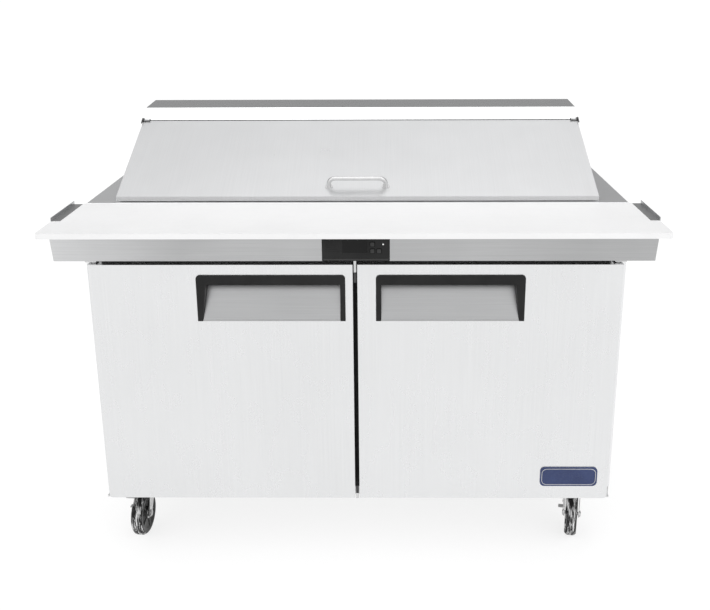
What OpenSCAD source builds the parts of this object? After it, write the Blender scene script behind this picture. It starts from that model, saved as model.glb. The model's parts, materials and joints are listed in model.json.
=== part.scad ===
// Sandwich prep table: a two-door refrigerated cabinet on casters. A row of food pans
// sits under a sloped hood, with a long cutting board across the front.
// Millimetres. The origin is on the floor under the middle; +X right, +Y back, +Z up.

/* [Overall] */
// Width of the cutting board with its side brackets, the widest part of the table
overall_w = 1530; // [1500:5:1560]
// Depth from the front edge of the board to the back edge of the worktop
overall_d = 864; // [850:2:880]
// Height of the back edge of the hood above the floor
overall_h = 1178; // [1174:1:1186]

/* [Cabinet] */
// Width of the cabinet across its side panels
cabinet_w = 1400; // [1396:2:1410]
// Height of the underside of the base, which is the height of a caster
base_z = 160; // [155:1:170]
// Height of the base frame
base_h = 28; // [24:1:34]
// Height of a door
door_h = 668; // [664:1:672]
// Thickness of a door without its gasket
door_t = 50; // [46:1:54]
// Clear gap between the two doors
door_gap = 12; // [8:1:16]

/* [Worktop] */
// Width of the worktop and its apron
worktop_w = 1468; // [1460:2:1480]
// Height of the ledge that carries the cutting board
ledge_z = 953; // [951:1:955]
// Height of the worktop behind the board above that ledge
deck_rise = 14; // [12:0.5:16]
// Height of the apron
apron_h = 60; // [58:1:62]
// Thickness of the cutting board
board_t = 14; // [12:0.5:16]
// Front-to-back size of the cutting board
board_d = 308; // [290:1:310]

/* [Food pans] */
// Number of pans in a row
pan_columns = 7; // [7]
// Width of a pan across its rim
pan_w = 176; // [174:0.5:178]
// Front-to-back size of a pan across its rim
pan_d = 162; // [160:0.5:163]
// Depth of a pan
pan_h = 100; // [65:5:105]

/* [Hood] */
// Width of the hood
hood_w = 1313; // [1310:1:1320]
// Height of the hinge line of the front lid
lid_hinge_z = 1137; // [1134:1:1140]
// Height of the front lid's lower front edge
lid_front_z = 981; // [980:1:984]
// Thickness of the insulated walls of the hood
hood_t = 20; // [16:1:22]

/* [Casters] */
// Diameter of a wheel
wheel_d = 125; // [120:1:126]
// Width of a tyre
wheel_w = 32; // [30:1:34]
// Distance of a wheel's axle from its swivel axis
caster_trail = 36; // [30:1:40]

/* [Controls] */
// Width of the control panel in the apron
control_w = 164; // [160:1:170]
// Travel of a control button
button_travel = 1.2; // [1:0.1:1.5]

/* [Hidden] */

$fn = 48;
sheet = 2;              // thickness of folded sheet metal
fit = 0.05;             // radial clearance of a shaft in its hole
touch = 0.3;            // gap between faces that slide past each other
glue = 0.05;            // film of adhesive between a sheet and the panel bonded to it
LEFT = 0;
RIGHT = 1;

// Heights
floor_z = base_z + base_h;                  // underside of the insulated cabinet
door_z = floor_z;
door_top = door_z + door_h;
worktop_under = ledge_z - apron_h;
deck_z = ledge_z + deck_rise;
board_top = ledge_z + board_t;

// Depths, all measured from the middle of the table
front_y = -overall_d / 2;
rear_y = overall_d / 2;
door_y = front_y + 104;                     // outer face of the doors
door_back = door_y + door_t;
frame_y = door_back + 10;                   // front face of the cabinet
gasket_back = frame_y - touch;
frame_t = 4;
liner_y = frame_y + frame_t;
cabinet_rear = rear_y - 17;
bay_y = 250;                                // front wall of the machine bay
bay_top = 480;
apron_y = front_y + 16;
apron_back = front_y + 40;

// Half widths
cab_x = cabinet_w / 2;
top_x = worktop_w / 2;
side_x = overall_w / 2;
hood_x = hood_w / 2;
door_edge = cab_x - 21;                     // hinge-side edge of a door

// Cabinet interior
liner_x = cab_x - 48;
liner_floor = floor_z + 42;
liner_rear = cabinet_rear - 43;
liner_rear_low = bay_y - 40;
liner_step = bay_top + 42;
well_z = ledge_z - 112;                   // where the back wall steps out for the pans

// Door openings in the front frame
mullion_x = 30;
opening_x = 645;
opening_z0 = 232;
opening_z1 = 826;

// Door pivots
pivot_x = door_edge - 10;
pivot_y = door_y + 28;
pivot_r = 5;
pivot_len = 20;

// Door handle recess; it starts this far from the middle of the table on each side
grip_start = [25, 53];
grip_w = 380;
grip_z0 = door_top - 151;
grip_z1 = door_top - 27;
grip_bar = 26;                              // height of the bar above the recess
grip_lip = grip_z1 - grip_bar;
grip_taper = 11;                            // lean of the recess's hinge-side wall
grip_side = 13;                             // width of the bezel beside the recess
grip_in = 41;                               // depth of the recess at its top
grip_lap = 4;                               // overlap of the bezel's flange on the door
grip_corner = 10;                           // radius of the flange's top corners
door_corner = 9;                            // radius of a door's outer bottom corner

// Side brackets of the cutting board
bracket_y = [front_y + 119, front_y + 302];
flange_t = 1.7;
flange_w = 23;
bracket_h = 8;                              // height of a bracket above the board

// Pan well
well_x = 633;
well_y0 = -98;
well_y1 = 404;
pan_pitch_x = 180;
pan_pitch_y = 166;
well_mid = (well_y0 + well_y1) / 2;
rail_top = deck_z - 6;
rail_h = 6;
bar_w = 14;
pan_wall = 1;

// Hood side profile
lid_y0 = -107;
lid_hinge_y = 239;
hood_rear = rear_y - 8;
hood_z0 = deck_z + 3;
facet_y = 278;
facet_z = lid_hinge_z + 33;
crest_y = 403;
cheek_x1 = hood_x - 4.5;
cheek_x0 = cheek_x1 - 15;
lid_run = lid_hinge_y - lid_y0;
lid_rise = lid_hinge_z - lid_front_z;
lid_slope = atan2(lid_rise, lid_run);
lid_len = sqrt(lid_run * lid_run + lid_rise * lid_rise);
seam = 1.5;                                 // half the gap at the lid's hinge line
lug_r = 6;
lid_pin_r = 3;

// Hood hinge
hood_pivot_y = rear_y - 5;
hood_pivot_z = deck_z + 7;
knuckle_r = 4.5;
hood_pin_r = 2;

// Casters
caster_x = cab_x - 76;
caster_front = -168;
caster_rear = 330;
plate_t = 4;
kingpin_r = 6;
crown_top = base_z - 11;
crown_t = 10;
axle_r = 5;
leg_gap = 2.5;                              // space between a wheel's hub and a fork leg
leg_t = 3;
hub_w = wheel_w + 2;
leg_in = hub_w / 2 + leg_gap;
leg_out = leg_in + leg_t;
brake_pin_r = 3;
brake_y = -caster_trail + 6;
brake_z = wheel_d / 2 + 32;

// Control panel
control_x0 = -76;
control_x1 = control_x0 + control_w;
control_face = apron_y - 2;
button_size = 10;
button_len = 8;
button_xs = [46, 46, 62];
button_zs = [ledge_z - 17, ledge_z - 34, ledge_z - 34];

// Colours
STEEL = [0.78, 0.79, 0.80];
DARK_STEEL = [0.55, 0.56, 0.57];
BLACK = [0.08, 0.08, 0.09];
WHITE = [0.95, 0.95, 0.95];
RUBBER = [0.16, 0.16, 0.17];
COPPER = [0.72, 0.45, 0.30];
FOAM = [0.90, 0.85, 0.62];
BLUE = [0.10, 0.18, 0.42];

// ---------- helpers ----------

// A box given by its two ends along each axis
module block(x, y, z)
    translate([x[0], y[0], z[0]])
        cube([x[1] - x[0], y[1] - y[0], z[1] - z[0]]);

// A side profile of [y, z] points, drawn out along X
module profile_x(x, points)
    translate([x[0], 0, 0])
        rotate([90, 0, 90])
            linear_extrude(x[1] - x[0]) polygon(points);

// A rod along X, Y or Z from one point
module rod_x(p, length, r) translate(p) rotate([0, 90, 0]) cylinder(h = length, r = r);
module rod_y(p, length, r) translate(p) rotate([-90, 0, 0]) cylinder(h = length, r = r);
module rod_z(p, length, r) translate(p) cylinder(h = length, r = r);

// Children made for the right-hand side, mirrored when the side is LEFT
module on_side(side) mirror([side == LEFT ? 1 : 0, 0, 0]) children();

// A flat rectangle with round corners, centred on the origin
module round_rect(w, d, r) {
    square([w - 2 * r, d], center = true);
    square([w, d - 2 * r], center = true);
    for (i = [-1, 1], j = [-1, 1])
        translate([i * (w / 2 - r), j * (d / 2 - r)]) circle(r);
}

// A point on the lid: s along the slope from the front edge, h out from its top face
function lid_point(s, h) = [
    lid_y0 + s * cos(lid_slope) - h * sin(lid_slope),
    lid_front_z + s * sin(lid_slope) + h * cos(lid_slope)
];

// ---------- cabinet ----------

module base_frame() color(DARK_STEEL) {
    rail = 40;
    y = [frame_y + 6, cabinet_rear];
    difference() {
        block([-cab_x, cab_x], y, [base_z, floor_z]);
        for (side = [LEFT, RIGHT]) on_side(side)
            block([rail / 2, cab_x - 130], [y[0] + rail, y[1] - rail],
                  [base_z - 1, floor_z - sheet]);
    }
}

module side_panel(side) color(STEEL) on_side(side) {
    z = [floor_z, worktop_under];
    block([cab_x - sheet, cab_x], [frame_y, cabinet_rear], z);
    block([cab_x - 20, cab_x - sheet], [frame_y, liner_y], z);
    block([cab_x - 28, cab_x - sheet], [cabinet_rear - sheet, cabinet_rear], z);
}

// Upper back sheet, the ceiling of the machine bay and its front wall, folded as one
module back_panel() color(DARK_STEEL)
    profile_x([-cab_x + 28, cab_x - 28], [
        [cabinet_rear, worktop_under], [cabinet_rear, bay_top - sheet],
        [bay_y, bay_top - sheet], [bay_y, floor_z],
        [bay_y - sheet, floor_z], [bay_y - sheet, bay_top],
        [cabinet_rear - sheet, bay_top], [cabinet_rear - sheet, worktop_under]
    ]);

// Side profile of the interior, grown outwards by t
function liner_profile(t, top) = [
    [liner_y, liner_floor - t], [liner_rear_low + t, liner_floor - t],
    [liner_rear_low + t, liner_step - t], [liner_rear + t, liner_step - t],
    [liner_rear + t, well_z - t], [well_y1 - sheet + t, well_z - t],
    [well_y1 - sheet + t, top], [liner_y, top]
];

module cabinet_foam() color(FOAM) difference() {
    x = cab_x - sheet;
    profile_x([-x, x], [
        [liner_y, floor_z], [bay_y - sheet, floor_z], [bay_y - sheet, bay_top],
        [cabinet_rear - sheet, bay_top], [cabinet_rear - sheet, worktop_under],
        [liner_y, worktop_under]
    ]);
    profile_x([-liner_x - sheet, liner_x + sheet],
              liner_profile(sheet, worktop_under + 1));
    translate([0, -1, 0])
        profile_x([-liner_x - sheet, liner_x + sheet],
                  liner_profile(sheet, worktop_under + 1));
}

module cabinet_liner() color(WHITE) difference() {
    profile_x([-liner_x - sheet, liner_x + sheet], liner_profile(sheet, worktop_under));
    profile_x([-liner_x, liner_x], liner_profile(0, worktop_under + 1));
    translate([0, -1, 0])
        profile_x([-liner_x, liner_x], liner_profile(0, worktop_under + 1));
}

module front_frame() color(STEEL) {
    difference() {
        block([-cab_x + 20, cab_x - 20], [frame_y, liner_y], [floor_z, worktop_under]);
        for (side = [LEFT, RIGHT]) on_side(side)
            block([mullion_x, opening_x], [frame_y - 1, liner_y + 1],
                  [opening_z0, opening_z1]);
    }
    post_depth = 46;
    block([-mullion_x, mullion_x], [liner_y, liner_y + post_depth],
          [liner_floor, opening_z1 + 20]);
    block([-liner_x, liner_x], [liner_y, liner_y + post_depth],
          [opening_z1 + 20, worktop_under]);
}

// Top and bottom pivot brackets of both doors
module door_hinges() color(STEEL) for (side = [LEFT, RIGHT]) on_side(side) {
    x = [pivot_x - 9, pivot_x + 20];
    plate = 4;
    y0 = pivot_y - 12;
    block(x, [y0, frame_y], [door_top + 2, door_top + 2 + plate]);
    block(x, [frame_y - 3, frame_y], [door_top + 2, worktop_under - 5]);
    rod_z([pivot_x, pivot_y, door_top + 2 - pivot_len + 1], pivot_len, pivot_r);
    block(x, [y0, frame_y + 6], [door_z - 3 - plate, door_z - 3]);
    block(x, [frame_y + 3, frame_y + 6], [base_z + 3, door_z - 3]);
    rod_z([pivot_x, pivot_y, door_z - 4], pivot_len, pivot_r);
}

// ---------- inside the cabinet ----------

shelf_z = 545;
shelf_x0 = 34;
shelf_x1 = 632;
shelf_y0 = -196;
shelf_y1 = 340;
wire_r = 2;
rim_r = 3.5;

module shelf(side) color(WHITE) on_side(side) {
    w = shelf_x1 - shelf_x0;
    d = shelf_y1 - shelf_y0;
    wires = 15;
    for (y = [shelf_y0, shelf_y1]) rod_x([shelf_x0, y, shelf_z], w, rim_r);
    for (x = [shelf_x0 + rim_r, shelf_x1 - rim_r])
        rod_y([x, shelf_y0, shelf_z], d, rim_r);
    for (i = [1:wires])
        rod_y([shelf_x0 + i * w / (wires + 1), shelf_y0, shelf_z + 3], d, wire_r);
    rod_x([shelf_x0 + rim_r, shelf_y0 + d / 2, shelf_z], w - 2 * rim_r, rim_r);
}

// Slotted uprights on the side walls and the mullion line, with a clip under each shelf corner
module shelf_supports() color(STEEL) for (side = [LEFT, RIGHT]) on_side(side)
    for (y = [-150, 290]) {
        z0 = y < 0 ? 260 : liner_step + 6;
        difference() {
            block([liner_x - 5, liner_x], [y - 10, y + 10], [z0, 800]);
            for (z = [z0 + 20 : 40 : 790])
                block([liner_x - 6, liner_x + 1], [y - 4, y + 4], [z, z + 12]);
        }
        block([liner_x - 22, liner_x - 5], [y - 9, y + 9], [shelf_z - 8, shelf_z - rim_r]);
        block([8, 12], [y - 10, y + 10], [liner_step + 6, 800]);
        block([12, 46], [y - 9, y + 9], [shelf_z - 8, shelf_z - rim_r]);
    }

evap_x = 230;
evap_y = 312;
evap_z = [600, 800];
evap_fan_z = 700;
evap_fan_r = 62;

// Cover, drain edge and finned coil of the evaporator on the back wall
module evaporator() color(STEEL) {
    difference() {
        block([-evap_x, evap_x], [evap_y, liner_rear], evap_z);
        block([-evap_x + sheet, evap_x - sheet], [evap_y + sheet, liner_rear + 1],
              [evap_z[0] + sheet, evap_z[1] - sheet]);
        rod_y([0, evap_y - 1, evap_fan_z], 4, evap_fan_r);
        for (side = [LEFT, RIGHT], i = [0:6]) on_side(side)
            block([90, 210], [evap_y - 1, evap_y + 3],
                  [evap_z[0] + 30 + i * 20, evap_z[0] + 38 + i * 20]);
    }
    for (i = [0:23])
        block([-207 + i * 18, -205.8 + i * 18], [liner_rear - 24, liner_rear],
              [evap_z[0] + 20, evap_z[1] - 20]);
    for (z = [evap_z[0] + 50, evap_z[1] - 50])
        rod_x([-214, liner_rear - 12, z], 428, 4);
    rod_y([0, evap_y + 18, evap_fan_z], 18, 24);
    block([-14, 14], [evap_y + 36, liner_rear - 12], [evap_fan_z - 14, evap_fan_z + 14]);
}

// Fan rotor with flat pitched blades, on an axis along Y
module fan_rotor(centre, r, hub_r, depth, blades) translate(centre) {
    rod_y([0, 0, 0], depth, hub_r);
    for (i = [0 : blades - 1]) rotate([0, i * 360 / blades, 0])
        translate([0, depth / 2, 0]) rotate([0, 0, 0])
            intersection() {
                translate([0, 0, hub_r - 1]) rotate([0, 0, 28])
                    translate([-r * 0.42, -0.8, 0]) cube([r * 0.84, 1.6, r - hub_r]);
                rod_y([0, -depth / 2, 0], depth, r);
            }
}

module evaporator_fan() color(BLACK)
    fan_rotor([0, evap_y + 4, evap_fan_z], evap_fan_r - 6, 16, 12, 5);

module compressor() color(BLACK) {
    x = -330;
    y = 334;
    shell_r = 66;
    rod_z([x, y, floor_z + 22], 120, shell_r);
    translate([x, y, floor_z + 142]) difference() {
        sphere(shell_r);
        translate([0, 0, -shell_r]) cube([3 * shell_r, 3 * shell_r, 2 * shell_r], true);
    }
    block([x - 84, x + 84], [y - 60, y + 60], [floor_z + 14, floor_z + 22]);
    for (i = [-1, 1], j = [-1, 1])
        rod_z([x + i * 72, y + j * 48, floor_z], 14, 11);
    block([x + 60, x + 92], [y - 28, y + 28], [floor_z + 40, floor_z + 110]);
    rod_z([x - 30, y, floor_z + 195], 40, 4);
}

cond_x = 190;
cond_z = 330;
cond_fan_r = 98;
cond_y = 352;

// Finned condenser coil with its fan shroud and motor, on feet
module condenser() color(COPPER) {
    w = 300;
    h = 240;
    z0 = cond_z - h / 2;
    for (i = [0:36])
        block([cond_x - w / 2 + 2 + i * 8, cond_x - w / 2 + 3 + i * 8],
              [cond_y, cond_y + 44], [z0, z0 + h]);
    for (i = [0:4], j = [12, 32])
        rod_x([cond_x - w / 2 - 6, cond_y + j, z0 + 24 + i * 48], w + 12, 4.5);
    for (x = [cond_x - w / 2 - 3, cond_x + w / 2 + 3])
        block([x - 2, x + 2], [cond_y - 34, cond_y + 44], [floor_z, z0 + h]);
    difference() {
        block([cond_x - w / 2 - 1, cond_x + w / 2 + 1], [cond_y - 34, cond_y - 32],
              [z0, z0 + h]);
        rod_y([cond_x, cond_y - 35, cond_z], 4, cond_fan_r);
    }
    rod_y([cond_x, cond_y - 66, cond_z], 30, 30);
    block([cond_x - 12, cond_x + 12], [cond_y - 66, cond_y - 52], [floor_z, cond_z - 26]);
}

module condenser_fan() color(BLACK)
    fan_rotor([cond_x, cond_y - 32, cond_z], cond_fan_r - 6, 22, 18, 4);

// Louvred cover over the machine bay
module machine_grille() color(DARK_STEEL) difference() {
    x = cab_x - 30;
    block([-x, x], [cabinet_rear - 3, cabinet_rear], [floor_z + 2, bay_top - 4]);
    for (column = [-2:2], i = [0:9])
        block([column * 260 - 100, column * 260 + 100],
              [cabinet_rear - 4, cabinet_rear + 1],
              [floor_z + 50 + i * 20, floor_z + 58 + i * 20]);
}

module power_inlet() color(BLACK) {
    z = bay_top - 22;
    x = -600;
    difference() {
        rod_y([x, cabinet_rear, z], 5, 13);
        rod_y([x, cabinet_rear - 1, z], 7, 6);
    }
    difference() {
        rod_y([x, cabinet_rear + 5, z], 9, 9);
        rod_y([x, cabinet_rear + 4, z], 11, 6);
    }
}

// ---------- worktop ----------

// Folded tray round the pan well, with a lower ledge in front for the cutting board
module worktop() color(STEEL) difference() {
    y = [apron_back, rear_y];
    step_y = front_y + board_d + 2;
    inner_x = [-top_x + sheet, top_x - sheet];
    inner_y = [y[0] + sheet, y[1] - sheet];
    union() {
        block([-top_x, top_x], y, [worktop_under, ledge_z]);
        block([-top_x, top_x], [step_y, y[1]], [ledge_z, deck_z]);
    }
    difference() {
        union() {
            block(inner_x, inner_y, [worktop_under + sheet, ledge_z - sheet]);
            block(inner_x, [step_y + sheet, inner_y[1]], [ledge_z - sheet, deck_z - sheet]);
        }
        block([-well_x - sheet, well_x + sheet], [well_y0 - sheet, well_y1 + sheet],
              [worktop_under, deck_z]);
    }
    block([-well_x, well_x], [well_y0, well_y1], [worktop_under - 1, deck_z + 1]);
    for (x = [-450, 0, 450])
        block([x - 20, x + 20], [-200, -170], [worktop_under - 1, worktop_under + sheet + 1]);
}

// Outline of the apron from the front, a little narrower at its lower edge
module apron_outline(inset)
    polygon([
        [-top_x + inset, ledge_z - inset], [top_x - inset, ledge_z - inset],
        [top_x - 5 - inset, worktop_under + inset], [-top_x + 5 + inset, worktop_under + inset]
    ]);

module front_apron() color(STEEL) difference() {
    translate([0, apron_back, 0]) rotate([90, 0, 0])
        linear_extrude(apron_back - apron_y) apron_outline(0);
    translate([0, apron_back + 1, 0]) rotate([90, 0, 0])
        linear_extrude(apron_back + 1 - apron_y - sheet) apron_outline(sheet);
    block([control_x0 + 3, control_x1 - 3], [apron_y - 1, apron_y + sheet + 1],
          [worktop_under + 5, ledge_z - 5]);
}

// Channels that hold the ends of the cutting board
module board_brackets() color(DARK_STEEL) for (side = [LEFT, RIGHT]) on_side(side) {
    foot_z = ledge_z - 6;
    block([side_x - flange_t, side_x], bracket_y, [foot_z, board_top + bracket_h]);
    block([side_x - flange_w - 1, side_x - flange_t], bracket_y,
          [board_top - touch - flange_t, board_top - touch]);
    block([top_x, side_x - flange_t], bracket_y, [foot_z, foot_z + flange_t]);
}

// The board's ends are rebated where the bracket flanges lie over them
module cutting_board() color(WHITE) difference() {
    half = side_x - 2;
    translate([0, front_y + board_d / 2, ledge_z])
        linear_extrude(board_t) round_rect(2 * half, board_d, 8);
    for (side = [LEFT, RIGHT]) on_side(side)
        block([half - flange_w, side_x], [bracket_y[0] - 1, bracket_y[1] + 20],
              [board_top - flange_t - 2 * touch, board_top + 1]);
}

// Ledges round the well and the bars between the pans
module pan_rails() color(STEEL) {
    z = [rail_top - rail_h, rail_top];
    ledge_x = 12;
    ledge_y = 10;
    difference() {
        block([-well_x, well_x], [well_y0, well_y1], z);
        block([-well_x + ledge_x, well_x - ledge_x], [well_y0 + ledge_y, well_y1 - ledge_y],
              [z[0] - 1, z[1] + 1]);
    }
    for (j = [-0.5, 0.5])
        block([-well_x + ledge_x, well_x - ledge_x],
              [well_mid + j * pan_pitch_y - bar_w / 2, well_mid + j * pan_pitch_y + bar_w / 2],
              z);
    for (i = [0.5 : 1 : pan_columns / 2 - 1], side = [LEFT, RIGHT]) on_side(side)
        block([i * pan_pitch_x - bar_w / 2, i * pan_pitch_x + bar_w / 2],
              [well_y0 + ledge_y, well_y1 - ledge_y], z);
}

// One open pan: a rim, straight walls with round corners and a flat bottom
module pan(x, y) translate([x, y, 0]) {
    rim_w = pan_w - 2;
    rim_d = pan_d - 2;
    body_w = rim_w - 16;
    body_d = rim_d - 16;
    rim_z = rail_top;
    bottom = rim_z + pan_wall - pan_h;
    difference() {
        union() {
            translate([0, 0, rim_z]) linear_extrude(pan_wall) round_rect(rim_w, rim_d, 10);
            translate([0, 0, bottom]) linear_extrude(pan_h - pan_wall / 2)
                round_rect(body_w, body_d, 16);
        }
        translate([0, 0, bottom + pan_wall]) linear_extrude(pan_h)
            round_rect(body_w - 2 * pan_wall, body_d - 2 * pan_wall, 15);
    }
}

module pan_row(row) color(STEEL)
    for (i = [0 : pan_columns - 1])
        pan((i - (pan_columns - 1) / 2) * pan_pitch_x, well_mid + row * pan_pitch_y);

// ---------- controls ----------

module control_panel() color(BLACK) difference() {
    union() {
        block([control_x0, control_x1], [control_face, apron_y],
              [worktop_under + 1, ledge_z - 1]);
        block([control_x0 + 4, control_x1 - 4], [apron_y, apron_y + 18],
              [worktop_under + 6, ledge_z - 6]);
    }
    hole = button_size / 2 + touch;
    for (i = [0:2])
        block([button_xs[i] - hole, button_xs[i] + hole],
              [control_face - 1, control_face + button_len],
              [button_zs[i] - hole, button_zs[i] + hole]);
}

module control_display() color(BLACK)
    block([-26, 33], [control_face - 1.2, control_face], [ledge_z - 38, ledge_z - 4]);

module button(i) color(DARK_STEEL)
    translate([button_xs[i], control_face - 1.5 + button_len, button_zs[i]])
        rotate([90, 0, 0])
            linear_extrude(button_len) round_rect(button_size, button_size, 2);

// ---------- doors, drawn for the right-hand side ----------

door_x = [door_gap / 2, door_edge];

// The two ends of the handle recess along X, drawn in by a margin
function grip_x(side, margin) =
    [grip_start[side] + margin, grip_start[side] + grip_w - margin];

module pivot_holes() for (z = [door_z - 1, door_top - pivot_len])
    rod_z([pivot_x, pivot_y, z], pivot_len + 1, pivot_r + fit);

// A slab across the door, drawn in by a margin, with its outer bottom corner rounded
module door_slab(margin, y) {
    r = door_corner - margin;
    x = [door_x[0] + margin, door_x[1] - margin];
    z = [door_z + margin, door_top - margin];
    block(x, y, [z[0] + r, z[1]]);
    block([x[0], x[1] - r], y, [z[0], z[0] + r]);
    rod_y([x[1] - r, y[0], z[0] + r], y[1] - y[0], r);
}

module grip_hole(side, y)
    block(grip_x(side, grip_lap), y, [grip_z0 + grip_lap, grip_z1 - grip_lap]);

module door_skin(side) color(STEEL) on_side(side) difference() {
    door_slab(0, [door_y, door_back - 4]);
    door_slab(sheet, [door_y + sheet, door_back]);
    grip_hole(side, [door_y - 1, door_y + sheet + 1]);
    pivot_holes();
}

module door_liner(side) color(WHITE) on_side(side) difference() {
    door_slab(sheet, [door_y + sheet, door_back]);
    grip_hole(side, [door_y + sheet - 1, door_y + grip_in + 5]);
    pivot_holes();
}

module door_gasket(side) color(DARK_STEEL) on_side(side) difference() {
    width = 16;
    x = [door_x[0] + 6, door_edge - 16];
    z = [door_z + 10, door_top - 10];
    block(x, [door_back, gasket_back], z);
    block([x[0] + width, x[1] - width], [door_back - 1, gasket_back + 1],
          [z[0] + width, z[1] - width]);
}

// Black tray let into the door: a bar along the top, side walls and room for fingers
module door_bezel(side) color(BLACK) on_side(side) difference() {
    proud = 3;
    x = grip_x(side, 0);
    shoulder = grip_z1 - grip_corner;
    union() {
        block(x, [door_y - proud, door_y], [grip_z0, shoulder]);
        block(grip_x(side, grip_corner), [door_y - proud, door_y], [shoulder, grip_z1]);
        for (corner_x = grip_x(side, grip_corner))
            rod_y([corner_x, door_y - proud, shoulder], proud, grip_corner);
        grip_hole(side, [door_y, door_y + grip_in + 5]);
    }
    difference() {
        profile_x(grip_x(side, grip_side), [
            [door_y - proud - 1, grip_z0 - 1], [door_y - proud - 1, grip_lip],
            [door_y + 6, grip_lip], [door_y + 6, grip_lip + 16],
            [door_y + grip_in, grip_lip + 16], [door_y + grip_in, grip_lip],
            [door_y, grip_z0 + 4], [door_y, grip_z0 - 1]
        ]);
        grip_cheek(side);
    }
}

// The hinge-side wall of the recess leans in towards its top
module grip_cheek(side) {
    x = grip_x(side, grip_side)[1];
    translate([0, door_y + grip_in + 1, 0]) rotate([90, 0, 0])
        linear_extrude(grip_in + 6) polygon([
            [x, grip_z0 - 1], [x + 1, grip_z0 - 1], [x + 1, grip_lip + 17],
            [x - grip_taper, grip_lip + 17], [x - grip_taper, grip_lip]
        ]);
}

// Steel plate that slopes from the foot of the recess to the back of its top
module door_grip(side) color(STEEL) on_side(side) difference() {
    profile_x(grip_x(side, grip_side), [
        [door_y - 3, grip_z0], [door_y - 1, grip_z0 + 1], [door_y, grip_z0 + 4],
        [door_y + grip_in, grip_lip], [door_y + grip_in - 2, grip_lip],
        [door_y - 2, grip_z0 + 4], [door_y - 3, grip_z0 + 3]
    ]);
    grip_cheek(side);
}

module badge() color(BLUE)
    translate([572, door_y, door_z + 67]) rotate([90, 0, 0])
        linear_extrude(3) round_rect(154, 56, 12);

// ---------- hood ----------

module hood_pivots(x0, length, r)
    for (side = [LEFT, RIGHT]) on_side(side)
        rod_x([x0, hood_pivot_y, hood_pivot_z], length, r);

// Leaves, outer knuckles and pins on the worktop
module hood_hinges() color(DARK_STEEL) {
    for (side = [LEFT, RIGHT]) on_side(side)
        block([478, 562], [rear_y - 27, rear_y - 1], [deck_z, deck_z + sheet]);
    for (x = [480, 540]) {
        hood_pivots(x, 20, knuckle_r);
        for (side = [LEFT, RIGHT]) on_side(side)
            block([x, x + 20], [hood_pivot_y - 3, hood_pivot_y + 3],
                  [deck_z + sheet, hood_pivot_z]);
    }
    hood_pivots(480, 80, hood_pin_r);
}

// Slanted facet, top and back of the hood as one insulated panel
module hood_top() color(STEEL) difference() {
    union() {
        profile_x([-hood_x, hood_x], [
            [lid_hinge_y + seam, lid_hinge_z + seam * 0.8], [facet_y, facet_z],
            [crest_y, overall_h], [hood_rear, overall_h - 26], [hood_rear, hood_z0],
            [hood_rear - hood_t, hood_z0], [hood_rear - hood_t, overall_h - 38],
            [crest_y - 8, overall_h - hood_t - 1], [facet_y + 7, facet_z - hood_t],
            [lid_hinge_y + 14, lid_hinge_z - 15]
        ]);
        for (side = [LEFT, RIGHT]) on_side(side)
            block([500 + touch, 540 - touch], [hood_rear, hood_pivot_y],
                  [hood_pivot_z - 3, hood_pivot_z + knuckle_r]);
        hood_pivots(500 + touch, 40 - 2 * touch, knuckle_r);
    }
    hood_pivots(499, 42, hood_pin_r + fit);
    for (x = [[479, 500 + touch], [540 - touch, 561]], side = [LEFT, RIGHT]) on_side(side)
        block(x, [hood_pivot_y - knuckle_r - 2, rear_y],
              [hood_z0 - 1, hood_pivot_z + knuckle_r + 2]);
    for (side = [LEFT, RIGHT]) on_side(side)
        rod_x([cheek_x0 - 1, lid_hinge_y, lid_hinge_z], 30, lug_r + 1);
}

// End wall of the hood with the bearing for the lid's pin
module hood_side(side) color(DARK_STEEL) on_side(side) difference() {
    gap = sheet + 0.5;
    union() {
        profile_x([cheek_x0, cheek_x1], [
            [lid_point(10, -gap)[0], hood_z0], lid_point(10, -gap),
            lid_point(lid_len - 4, -gap),
            [lid_hinge_y + 14, lid_hinge_z - 15], [facet_y + 7, facet_z - hood_t],
            [crest_y - 8, overall_h - hood_t - 1],
            [hood_rear - hood_t, overall_h - 38], [hood_rear - hood_t, hood_z0]
        ]);
        rod_x([cheek_x0, lid_hinge_y, lid_hinge_z], cheek_x1 - cheek_x0, lug_r);
    }
    rod_x([cheek_x0 - 1, lid_hinge_y, lid_hinge_z], 20, lid_pin_r + fit);
}

// Folded sheet of the front lid: slope, front lip, side flanges and hinge pins
module lid_panel() color(STEEL) {
    lip_z = deck_z + 2;
    flange = 12;
    difference() {
        profile_x([-hood_x, hood_x], [
            [lid_y0, lip_z], [lid_y0, lid_front_z], lid_point(lid_len - seam, 0),
            lid_point(lid_len - seam, -sheet), lid_point(3, -sheet),
            [lid_y0 + sheet, lip_z]
        ]);
        for (side = [LEFT, RIGHT]) on_side(side)
            rod_x([cheek_x0 - 1, lid_hinge_y, lid_hinge_z], hood_x - sheet + 1 - cheek_x0,
                  lug_r + 1);
    }
    for (side = [LEFT, RIGHT]) on_side(side) {
        profile_x([hood_x - sheet, hood_x], [
            [lid_y0 + sheet, lip_z], [lid_y0 + sheet, lid_point(3, -sheet)[1]],
            lid_point(lid_len - seam, -sheet), lid_point(lid_len - seam, -flange),
            lid_point(flange, -flange)
        ]);
        rod_x([hood_x - sheet, lid_hinge_y, lid_hinge_z], sheet, lug_r);
        rod_x([cheek_x0 + 3, lid_hinge_y, lid_hinge_z], hood_x - cheek_x0 - 4, lid_pin_r);
    }
}

// Insulated inner panel of the lid, between the end walls of the hood
module lid_liner() color(WHITE) {
    x = cheek_x0 - 3;
    top = -sheet - glue;
    profile_x([-x, x], [
        lid_point(6, top), lid_point(lid_len - 6, top),
        lid_point(lid_len - 6, -18), lid_point(14, -18), lid_point(6, -12)
    ]);
}

handle_w = 156;
handle_rise = 28;
handle_s = 44;
handle_r = 6;

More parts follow.
